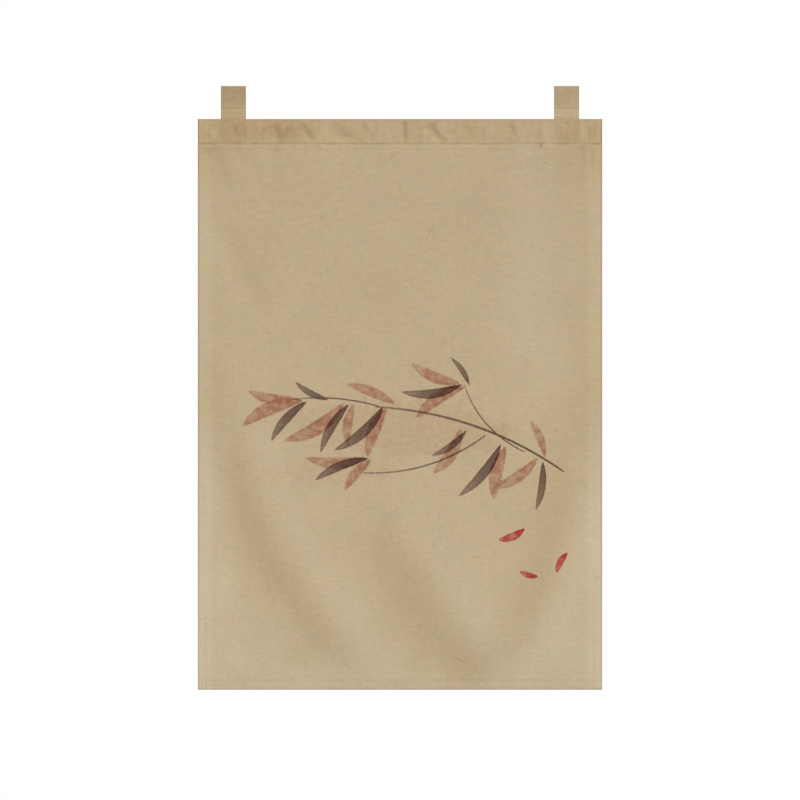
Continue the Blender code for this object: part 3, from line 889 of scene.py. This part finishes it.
def print_screen(name, left, right):
    """The print between two places across the cloth, laid with one screen."""
    group, given, result = node_group(
        name,
        {"Place": (0.0, 0.0, 0.0), "Ground": (0.5, 0.4, 0.25, 1.0), "Strength": 1.0},
        {"Colour": "Color"},
    )
    grain = blotches(given["Place"], 330.0, 330.0, 3.0, 0.6)
    cloudy = blotches(given["Place"], 34.0, 34.0, 3.0)
    bare = {"wash": 1.0, "ink": 1.0, "red": 1.0}
    for stroke in STROKES:
        low, high = stroke_span(stroke)
        if high < left or low > right:
            continue
        laid = use_group(
            stroke_group,
            place=given["Place"],
            grain=cloudy if stroke.ink == "mist" else grain,
            start=(stroke.x, -stroke.drop, 0.0),
            angle=math.radians(stroke.angle),
            length=stroke.length,
            width=stroke.width,
            arch=stroke.arch,
            **INKS[stroke.ink]._asdict(),
        )["Ink"]
        kept = reckon("MULTIPLY_ADD", laid, -stroke.strength, 1.0)
        pot = {"mist": "wash", "twig": "ink"}.get(stroke.ink, stroke.ink)
        bare[pot] = times(kept, bare[pot])
    settled = blotches(given["Place"], 62.0, 62.0, 4.0, 0.6)
    uptake = ramp(blotches(given["Place"], 150.0, 150.0, 4.0, 0.65), 0.25, 0.75, 0.80, 1.0)
    uptake = times(uptake, given["Strength"])
    watery = times(uptake, ramp(settled, 0.30, 0.70, 0.50, 1.25))
    printed = given["Ground"]
    for pot, tint, taken in (
        ("wash", WASH_TINT, watery),
        ("ink", INK_TINT, uptake),
        ("red", RED_TINT, watery),
    ):
        if bare[pot] == 1.0:  # none of this ink lies here
            continue
        cover = times(reckon("SUBTRACT", 1.0, bare[pot]), taken)
        stain = {part: reckon("POWER", tint[part], cover) for part in range(3)}
        printed = blend(1.0, printed, derive("CombineXYZ", stain))
    fill(result, {"Colour": printed})
    return group


PANEL_GROUND = (0.474, 0.369, 0.232, 1.0)
WRONG_SIDE = (0.460, 0.363, 0.236, 1.0)
GHOST = 0.16  # how much of the print shows on the wrong side
PANEL_FLECKED = 0.36


def cloth_finish(name, ground, flecked, colour_over):
    """A material of the cloth. Its colour is made over the plain cloth's at each place."""
    material = bpy.data.materials.new(name)
    material.use_nodes = True
    tree = material.node_tree
    surface = tree.nodes["Principled BSDF"]
    place = add_node(tree, "UVMap", {}, uv_map="Cloth").outputs[0]
    cloth = use_group(cloth_group, place=place, ground=ground, flecked=flecked)
    tree.links.new(colour_over(place, cloth["Colour"]), surface.inputs["Base Color"])
    tree.links.new(cloth["Roughness"], surface.inputs["Roughness"])
    bump = derive("Bump", {"Height": cloth["Height"], "Distance": 1.0, "Strength": 1.0})
    tree.links.new(bump, surface.inputs["Normal"])
    surface.inputs["Specular IOR Level"].default_value = 0.18
    surface.inputs["Sheen Weight"].default_value = 0.08
    surface.inputs["Sheen Roughness"].default_value = 0.6
    return material


def panel_finish(name, ground, screen=None, strength=1.0):
    """The panel's cloth, with its own ground colour and as much of a screen's print as shows."""

    def sewn_and_printed(place, colour):
        kept = {
            painted_name.lower(): add_node(place.id_data, "Attribute", {}, attribute_name=painted_name).outputs["Fac"]
            for painted_name in ("Rubbed", "Light_and_shade")
        }
        colour = use_group(sewn_shade_group, place=place, ground=colour, **kept)["Colour"]
        if screen:
            colour = use_group(screen, place=place, ground=colour, strength=strength)["Colour"]
        return colour

    return cloth_finish(name, ground, PANEL_FLECKED, sewn_and_printed)


PRINT_TOP, PRINT_FOOT = 0.470, 1.000
screens = [
    print_screen("Bamboo print %d" % number, left, right)
    for number, (left, right) in enumerate(SCREENS, 1)
]
panel_cloth.modifiers["Cloth body"].material_offset = 1 + len(screens)  # the wrong side's finishes
for side_name, ground, strength in (("", PANEL_GROUND, 1.0), (", wrong side", WRONG_SIDE, GHOST)):
    panel_mesh.materials.append(panel_finish("Cloth" + side_name, ground))
    for number, screen in enumerate(screens, 1):
        finish_name = "Printed cloth %d%s" % (number, side_name)
        panel_mesh.materials.append(panel_finish(finish_name, ground, screen, strength))
for face in panel_mesh.polygons:
    x, _, z = face.center
    if abs(x) > HEM_EDGE or not PRINT_TOP < -TAB_RISE - z < PRINT_FOOT:
        continue
    face.material_index = 1 + sum(x > left for left, _ in SCREENS[1:])

# Tab loops. Each is a strip of the same cloth sewn into a flat tube, then folded double over the
# rod. It is stitched across below its loop, and its two ends are caught in the heading's seam.
TAB_WIDTH = 0.0525
TAB_SEAM = 0.0475
TAB_END = 0.0535
LOOP_DEPTH = 0.0164
LOOP_WIDEST = 0.011
STRIP = 2 * CLOTH + LAYER_GAP
# The left tab's ground is darker than the right's: painted shade
TAB_SHADED_GROUNDS = {"left": (0.462, 0.338, 0.196, 1.0), "right": (0.500, 0.384, 0.231, 1.0)}
TAB_FLECKED = 0.30


def tab_middle_line(x, drop):
    """Y of the doubled strip's middle. It hangs straight down to the pocket's widest level, and
    lies along the pocket below that."""
    sewn = 3 * CLOTH + 2 * LAYER_GAP - FACE_OUT + LAYER_GAP + STRIP
    below = np.maximum(drop - TAB_RISE, POCKET_WIDEST)
    return PANEL_Y + pouch_half(below, POCKET_WIDEST, HEADING_DROP, -PANEL_Y, sewn)


def tab_face(x, drop, layer):
    """Y of the strip's outer face, in front (-1) or behind (1)."""
    half = pouch_half(
        np.minimum(drop, TAB_SEAM), LOOP_WIDEST, TAB_SEAM, LOOP_DEPTH / 2, STRIP + LAYER_GAP / 2
    )
    ripple = Ripple(0.00050, 0.030, 0.022, 9.0 + layer + np.sign(x.flat[0]))
    slack = uneven(x, drop, ripple) * smooth((TAB_SEAM - drop) / 0.010) * smooth(drop / 0.010)
    pulled = 0.0004 * (1 - smooth(np.abs(drop - TAB_SEAM) / 0.003))
    return tab_middle_line(x, drop) + layer * (half + slack - pulled)


def tab_rows(x):
    """Rows along the strip, from its end behind, over the loop and down to its end in front."""
    flat = np.zeros(x.shape)
    drops = list(np.linspace(TAB_RISE + TAB_END, TAB_RISE + POCKET_WIDEST, 14))
    drops += list(np.linspace(TAB_RISE + 0.009, TAB_SEAM + 0.004, 10))
    drops += [TAB_SEAM + step for step in (0.002, 0.0008, 0.0, -0.0008, -0.002)]
    drops += list(np.linspace(TAB_SEAM - 0.005, LOOP_WIDEST, 14))
    crown = [math.radians(degrees) for degrees in range(80, 0, -10)]
    rows = [(tab_face(x, flat + drop, 1), flat + drop, math.pi, drop) for drop in drops]
    for angle in crown:
        drop = LOOP_WIDEST * (1 - math.cos(angle))
        turn = math.atan2(math.cos(angle) / LOOP_WIDEST, -math.sin(angle) / (LOOP_DEPTH / 2))
        rows.append((tab_face(x, flat + drop, 1), flat + drop, turn, drop))
    rows.append((tab_middle_line(x, flat), flat, math.pi / 2, 0.0))
    for angle in reversed(crown):
        drop = LOOP_WIDEST * (1 - math.cos(angle))
        turn = math.atan2(math.cos(angle) / LOOP_WIDEST, math.sin(angle) / (LOOP_DEPTH / 2))
        rows.append((tab_face(x, flat + drop, -1), flat + drop, turn, -drop))
    rows += [(tab_face(x, flat + drop, -1), flat + drop, 0.0, -drop) for drop in reversed(drops)]
    return rows


def tab_columns(middle):
    """Places round the flat tube of a strip: x, how far behind its outer face, and across."""
    round_edge = STRIP / 2
    side = TAB_WIDTH / 2 - round_edge
    outer = [(offset, 0.0) for offset in np.linspace(-side, side, 15)]
    right = [
        (side + round_edge * math.sin(turn), round_edge * (1 - math.cos(turn)))
        for turn in (math.pi / 4, math.pi / 2, math.pi * 3 / 4)
    ]
    inner = [(-offset, STRIP) for offset, _ in outer]
    left = [(-offset, behind) for offset, behind in reversed(right)]
    ring = [*outer, *right, *inner, *left]
    return np.array([(middle + offset, behind, middle + offset) for offset, behind in ring])


def tab_light_and_tones(place, colour):
    """A tab's colour over random patches: painted shade where it goes over the rod, painted light lower
    down and most near the heading, and painted shade along its seam and edges.
    """
    at = parts(place)
    down = reckon("ABSOLUTE", at[1])
    loop_top_shade = ramp(down, 0.004, 0.028, 1.0, 0.0)
    lit_above_seam = ramp(down, 0.026, 0.040)
    lit_below_seam = ramp(down, TAB_SEAM - 0.001, TAB_SEAM + 0.001)
    lit_near_heading = ramp(down, TAB_SEAM + 0.006, TAB_RISE)
    patches = ramp(blotches(place, 75.0, 60.0, 3.0, 0.6), 0.35, 0.7, 0.0, 1.0)
    seam_shade = ramp(apart(down, TAB_SEAM), 0.0006, 0.0030, 0.35, 0.0)
    off = apart(reckon("ABSOLUTE", at[0]), TAB_MIDDLE)
    edge_shade = ramp(off, TAB_WIDTH / 2 - 0.0025, TAB_WIDTH / 2 - 0.0008, 0.0, 0.6)
    for factor, tint in (
        (loop_top_shade, (0.80, 0.785, 0.765, 1.0)),
        (lit_above_seam, (1.03, 1.04, 1.05, 1.0)),
        (lit_below_seam, (1.00, 1.01, 1.02, 1.0)),
        (lit_near_heading, (1.15, 1.16, 1.18, 1.0)),
        (patches, (0.95, 0.935, 0.90, 1.0)),
        (seam_shade, SEAM_AND_EDGE_SHADE_TINT),
        (edge_shade, SEAM_AND_EDGE_SHADE_TINT),
    ):
        colour = blend(factor, colour, tint)
    return colour


for tab_name, tab_side in (("left", -1), ("right", 1)):
    columns = tab_columns(tab_side * TAB_MIDDLE)
    column_x, column_behind, column_across = columns.T
    tab_places, tab_flat = [], []
    for face_y, drop, turn, along in tab_rows(column_x):
        y = face_y + column_behind * np.cos(turn)
        z = -drop - column_behind * np.sin(turn)
        tab_places.append(np.stack((column_x, y, z), axis=1))
        tab_flat.append(np.stack((column_across, along + 0 * column_x), axis=1))
    tab_mesh = sheet_mesh("loop_" + tab_name, np.array(tab_places), np.array(tab_flat), True)
    finish = cloth_finish("Tab cloth, " + tab_name, TAB_SHADED_GROUNDS[tab_name], TAB_FLECKED, tab_light_and_tones)
    tab_mesh.materials.append(finish)
    tab = cloth_piece(tab_mesh)
    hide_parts("tab_" + tab_name)
    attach(tab, "root")

# Sewing. Lockstitch in a matching thread: round the hems, along the heading's seam, through which
# the tab ends are caught, and across each tab below its loop.
STITCH_PITCH = 0.0034
STITCH_LENGTH = 0.0029
THREAD = 0.00042
THREAD_COLOUR = (0.445, 0.342, 0.212, 1.0)
SEAM_END = HALF_WIDTH - 0.002
HEM_LINE = HEM_EDGE + 0.0012
FOOT_LINE = FOOT_EDGE + 0.0012
UNEVENNESS = 0.07  # how far a stitch may lie turned, in radians


def stitch_tree():
    """Geometry nodes that sew a run of short stitches along each seam line."""
    tree = bpy.data.node_groups.new("Lockstitch", "GeometryNodeTree")
    for name, kind in (
        ("Seams", "Geometry"),
        ("Pitch", "Float"),
        ("Stitch length", "Float"),
        ("Thread", "Float"),
        ("Outward", "Vector"),
        ("Unevenness", "Float"),
        ("Finish", "Material"),
    ):
        tree.interface.new_socket(name, in_out="INPUT", socket_type="NodeSocket" + kind)
    tree.interface.new_socket("Sewn", in_out="OUTPUT", socket_type="NodeSocketGeometry")
    given = tree.nodes.new("NodeGroupInput").outputs

    inputs = {"Curve": given["Seams"], "Length": given["Pitch"]}
    seams = derive("GeometryNodeResampleCurve", inputs, mode="LENGTH")
    sunk = times(given["Thread"], -0.6)
    start, end = (
        derive("CombineXYZ", {0: times(given["Stitch length"], side), 2: sunk}) for side in (-0.5, 0.5)
    )
    crest = derive("CombineXYZ", {2: times(given["Thread"], 1.5)})
    inputs = {"Resolution": 4, "Start": start, "Middle": crest, "End": end}
    line = derive("GeometryNodeCurveQuadraticBezier", inputs)
    inputs = {"Resolution": 6, "Radius": times(given["Thread"], 0.5)}
    section = derive("GeometryNodeCurvePrimitiveCircle", inputs)
    inputs = {"Curve": line, "Profile Curve": section, "Fill Caps": True}
    stitch = derive("GeometryNodeCurveToMesh", inputs)
    stitch = derive("GeometryNodeSetShadeSmooth", {"Geometry": stitch})

    align = "FunctionNodeAlignRotationToVector"
    tangent = add_node(tree, "GeometryNodeInputTangent", {}).outputs[0]
    inputs = {"Rotation": derive(align, {"Vector": tangent}, axis="X"), "Vector": given["Outward"]}
    facing = derive(align, inputs, axis="Z", pivot_axis="X")
    backward = place_sum("SUBTRACT", (0.0, 0.0, 0.0), given["Unevenness"])
    inputs = {0: backward, 1: given["Unevenness"], "Seed": 3}
    tilt = derive("FunctionNodeRandomValue", inputs, data_type="FLOAT_VECTOR")
    inputs = {"Rotation": facing, "Rotate By": tilt}
    turned = derive("FunctionNodeRotateRotation", inputs, rotation_space="LOCAL")
    inputs = {2: 0.88, 3: 1.08, "Seed": 8}
    size = add_node(tree, "FunctionNodeRandomValue", inputs, data_type="FLOAT").outputs[1]

    inputs = {"Points": seams, "Instance": stitch, "Rotation": turned, "Scale": size}
    sewn = derive("GeometryNodeInstanceOnPoints", inputs)
    sewn = derive("GeometryNodeRealizeInstances", {"Geometry": sewn})
    sewn = derive("GeometryNodeSetMaterial", {"Geometry": sewn, "Material": given["Finish"]})
    fill(tree.nodes.new("NodeGroupOutput"), {0: sewn})
    return tree


def thread_finish():
    """Matt spun thread, its two plies showing as a fine twist."""
    material = bpy.data.materials.new("Sewing thread")
    material.use_nodes = True
    tree = material.node_tree
    surface = tree.nodes["Principled BSDF"]
    place = add_node(tree, "TexCoord", {}).outputs["Object"]
    inputs = {"Vector": place, "Scale": 900.0, "Distortion": 2.0}
    plies = derive("TexWave", inputs, 1, bands_direction="DIAGONAL")
    darker = tuple(part * 0.78 for part in THREAD_COLOUR[:3]) + (1.0,)
    colour = blend(ramp(plies, 0.0, 1.0), darker, THREAD_COLOUR, "MIX")
    tree.links.new(colour, surface.inputs["Base Color"])
    bump = derive("Bump", {"Height": times(plies, 0.00005), "Distance": 1.0})
    tree.links.new(bump, surface.inputs["Normal"])
    surface.inputs["Roughness"].default_value = 0.7
    return material


def seam_line(start, end, face):
    """Places along a straight seam on the cloth, set on the given face of it."""
    steps = max(int(math.dist(start, end) / 0.003), 2)
    x = np.linspace(start[0], end[0], steps + 1)
    drop = np.linspace(start[1], end[1], steps + 1)
    return list(zip(x, face(x, drop), -TAB_RISE - drop))


def behind_hem(x, drop):
    return front_face(x, drop) + 3 * CLOTH + 2 * LAYER_GAP


def behind_foot(x, drop):
    return front_face(x, drop) + 3 * layers_at(x) + 2 * LAYER_GAP


def behind_heading(x, drop):
    """The turned-over layer, or the tab ends where they lie over it."""
    cloth = PANEL_Y + pocket_back(x, drop)
    on_tab = np.abs(np.abs(x) - TAB_MIDDLE) < TAB_WIDTH / 2
    return np.where(on_tab, tab_face(x, drop + TAB_RISE, 1), cloth)


front_seams = [
    seam_line((-SEAM_END, HEADING_DROP), (SEAM_END, HEADING_DROP), front_face),
    seam_line((-SEAM_END, FOOT_LINE), (SEAM_END, FOOT_LINE), front_face),
    seam_line((-HEM_LINE, 0.010), (-HEM_LINE, PANEL_DROP - 0.002), front_face),
    seam_line((HEM_LINE, 0.010), (HEM_LINE, PANEL_DROP - 0.002), front_face),
]
below_turning = HEADING_DROP + TURNED_EDGE + 0.002
back_seams = [
    seam_line((-SEAM_END, HEADING_DROP), (SEAM_END, HEADING_DROP), behind_heading),
    seam_line((-SEAM_END, FOOT_LINE), (SEAM_END, FOOT_LINE), behind_foot),
    seam_line((-HEM_LINE, below_turning), (-HEM_LINE, FOOT_EDGE), behind_hem),
    seam_line((HEM_LINE, below_turning), (HEM_LINE, FOOT_EDGE), behind_hem),
    seam_line((-HEM_LINE, 0.012), (-HEM_LINE, HEADING_DROP), behind_heading),
    seam_line((HEM_LINE, 0.012), (HEM_LINE, HEADING_DROP), behind_heading),
]
for tab_side in (-1, 1):
    reach = TAB_WIDTH / 2 - 0.002
    x = np.linspace(tab_side * TAB_MIDDLE - reach, tab_side * TAB_MIDDLE + reach, 18)
    drop = np.full(x.shape, TAB_SEAM)
    front_seams.append(list(zip(x, tab_face(x, drop, -1), -drop)))
    back_seams.append(list(zip(x, tab_face(x, drop, 1), -drop)))

stitches = stitch_tree()
thread = thread_finish()
threads = []
for run_name, seams, outward in (
    ("stitching_front", front_seams, (0.0, -1.0, 0.0)),
    ("stitching_back", back_seams, (0.0, 1.0, 0.0)),
):
    lines = bpy.data.curves.new(run_name, "CURVE")
    lines.dimensions = "3D"
    for seam in seams:
        spline = lines.splines.new("POLY")
        spline.points.add(len(seam) - 1)
        spline.points.foreach_set("co", [part for place in seam for part in (*place, 1.0)])
    guide = add_object(run_name + "_guide", lines)
    sewing = guide.modifiers.new("Lockstitch", "NODES")
    sewing.node_group = stitches
    values = {
        "Pitch": STITCH_PITCH,
        "Stitch length": STITCH_LENGTH,
        "Thread": THREAD,
        "Outward": outward,
        "Unevenness": UNEVENNESS,
        "Finish": thread,
    }
    for item in stitches.interface.items_tree:
        if item.in_out == "INPUT" and item.name in values:
            sewing[item.identifier] = values[item.name]
    settled = guide.evaluated_get(bpy.context.evaluated_depsgraph_get())
    run = add_object(run_name, bpy.data.meshes.new_from_object(settled))
    bpy.data.objects.remove(guide, do_unlink=True)
    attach(run, "root")
    threads.append(run)

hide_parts("panel")
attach(panel_cloth, "root")
